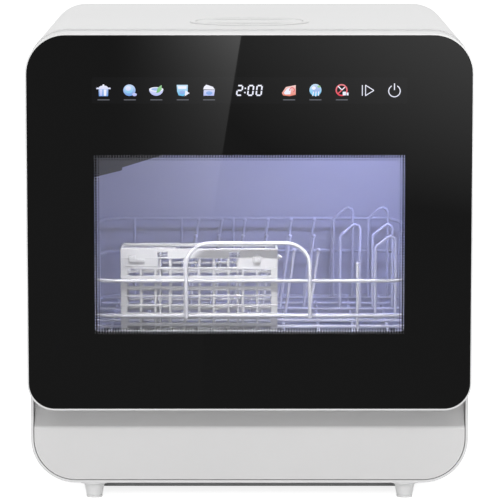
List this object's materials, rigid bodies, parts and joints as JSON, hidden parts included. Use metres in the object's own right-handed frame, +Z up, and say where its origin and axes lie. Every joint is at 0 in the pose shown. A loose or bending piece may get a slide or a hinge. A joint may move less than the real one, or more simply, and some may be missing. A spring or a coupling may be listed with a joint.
{
  "type": "countertop dishwasher",
  "caption": "Small white countertop dishwasher: drop-down door with black glass and a window, roll-out wire rack, cutlery basket, spray arms, top water filler and tank.",
  "frame": {"origin": "centre of the machine's outline on the worktop, under the feet", "axes": "+X to the right as seen from the front, +Y from the door to the back, +Z up"},
  "size_m": [0.42, 0.435, 0.4552],
  "materials": {
    "casing_white": "smooth gloss white",
    "skirt_white": "satin white",
    "pan_grey": "matt mid grey",
    "foot_clear": "milky translucent",
    "rubber_grey": "matt",
    "steel": "satin",
    "tank_plastic": "milky translucent",
    "tub_white": "smooth white lit violet",
    "seal_grey": "soft matt",
    "arm_grey": "satin light grey",
    "motor_black": "matt black",
    "hose_grey": "satin",
    "duct_grey": "matt dark grey",
    "lamp_lens": "frosted, lit violet",
    "board_green": "solder mask",
    "front_glass_black": "black printed tempered glass with a clear window",
    "pane_glass": "clear",
    "wire_white": "nylon coated wire",
    "basket_white": "satin white moulding",
    "spring_steel": "plain"
  },
  "bodies": {
    "cabinet": {"outer_casing": "casing_white", "rear_panel": "casing_white", "front_skirt": "skirt_white", "base_pan": "pan_grey", "feet": "foot_clear", "foot_pads": "foot_clear", "case_screws": "steel", "filler_funnel": "casing_white", "filler_seal": "seal_grey", "water_tank": "tank_plastic", "tub": "tub_white", "tub_gasket": "seal_grey", "rack_rails": "tub_white", "sump": "steel", "flat_filter": "steel", "circulation_pump": "motor_black", "drain_pump": "motor_black", "water_heater": "steel", "spray_pipe": "arm_grey", "lower_arm_hub": "steel", "upper_arm_hub": "steel", "drain_spigot": "motor_black", "inlet_valve": "arm_grey", "supply_hose": "hose_grey", "feed_hose": "hose_grey", "drain_hose": "hose_grey", "pressure_switch": "arm_grey", "fan_housing": "motor_black", "air_duct": "duct_grey", "air_outlet": "duct_grey", "interior_lamp": "lamp_lens", "hinge_brackets": "steel", "catch_housing": "arm_grey", "catch_spring": "spring_steel", "catch_magnet": "motor_black", "cable_gland": "rubber_grey", "power_board": "board_green"},
    "door": {"door_shell": "casing_white", "front_glass": "front_glass_black", "window_pane": "pane_glass", "window_gasket": "seal_grey", "door_inner_panel": "tub_white", "control_board": "board_green", "detergent_cup": "arm_grey", "hinge_pins": "steel"},
    "detergent_slide": {"detergent_lid": "tub_white"},
    "rack": {"rack_frame": "wire_white", "rack_corners": "wire_white", "rack_floor": "wire_white", "cup_loops": "wire_white"},
    "basket": {"cutlery_basket": "basket_white"},
    "lower_arm": {"lower_spray_arm": "arm_grey"},
    "upper_arm": {"upper_spray_arm": "arm_grey"},
    "pump_rotor": {"pump_impeller": "arm_grey"},
    "drain_rotor": {"drain_impeller": "arm_grey"},
    "fan": {"fan_rotor": "motor_black"},
    "float": {"tank_float": "tank_plastic"},
    "filter": {"filter_cup": "arm_grey"},
    "lid": {"filler_lid": "casing_white"},
    "catch": {"catch_plunger": "arm_grey"}
  },
  "joints": [
    {"name": "door_hinge", "type": "hinge", "parent": "cabinet", "child": "door", "pos_m": [0, -0.185, 0.104], "axis": [1, 0, 0], "range_deg": [0, 90]},
    {"name": "rack_slide", "type": "slide", "parent": "cabinet", "child": "rack", "axis": [0, -1, 0], "range_m": [0, 0.115]},
    {"name": "basket_lift", "type": "slide", "parent": "rack", "child": "basket", "axis": [0, 0, 1], "range_m": [0, 0.08]},
    {"name": "detergent_lid_slide", "type": "slide", "parent": "door", "child": "detergent_slide", "axis": [1, 0, 0], "range_m": [0, 0.042]},
    {"name": "lower_arm_spin", "type": "hinge", "parent": "cabinet", "child": "lower_arm", "pos_m": [0, -0.001, 0.139], "axis": [0, 0, 1], "continuous": true},
    {"name": "upper_arm_spin", "type": "hinge", "parent": "cabinet", "child": "upper_arm", "pos_m": [0, -0.001, 0.35], "axis": [0, 0, 1], "continuous": true},
    {"name": "wash_pump_spin", "type": "hinge", "parent": "cabinet", "child": "pump_rotor", "pos_m": [0, 0.071, 0.05], "axis": [1, 0, 0], "continuous": true},
    {"name": "drain_pump_spin", "type": "hinge", "parent": "cabinet", "child": "drain_rotor", "pos_m": [0.09, 0.137, 0.05], "axis": [0, 1, 0], "continuous": true},
    {"name": "drying_fan_spin", "type": "hinge", "parent": "cabinet", "child": "fan", "pos_m": [-0.06, 0.191, 0.285], "axis": [0, 1, 0], "continuous": true},
    {"name": "float_rise", "type": "slide", "parent": "cabinet", "child": "float", "axis": [0, 0, 1], "range_m": [0, 0.03]},
    {"name": "filter_cup_lift", "type": "slide", "parent": "cabinet", "child": "filter", "axis": [0, 0, 1], "range_m": [0, 0.018]},
    {"name": "filler_lid_lift", "type": "slide", "parent": "cabinet", "child": "lid", "axis": [0, 0, 1], "range_m": [0, 0.04]},
    {"name": "catch_press", "type": "slide", "parent": "cabinet", "child": "catch", "axis": [0, 1, 0], "range_m": [0, 0.002], "stiffness_N_per_m": 300, "springref_m": -0.002, "deforming": ["catch_spring"]}
  ],
  "couplings": [
    {"joint": "rack_slide", "follows": "door_hinge", "m_per_rad": 0.0732}
  ]
}
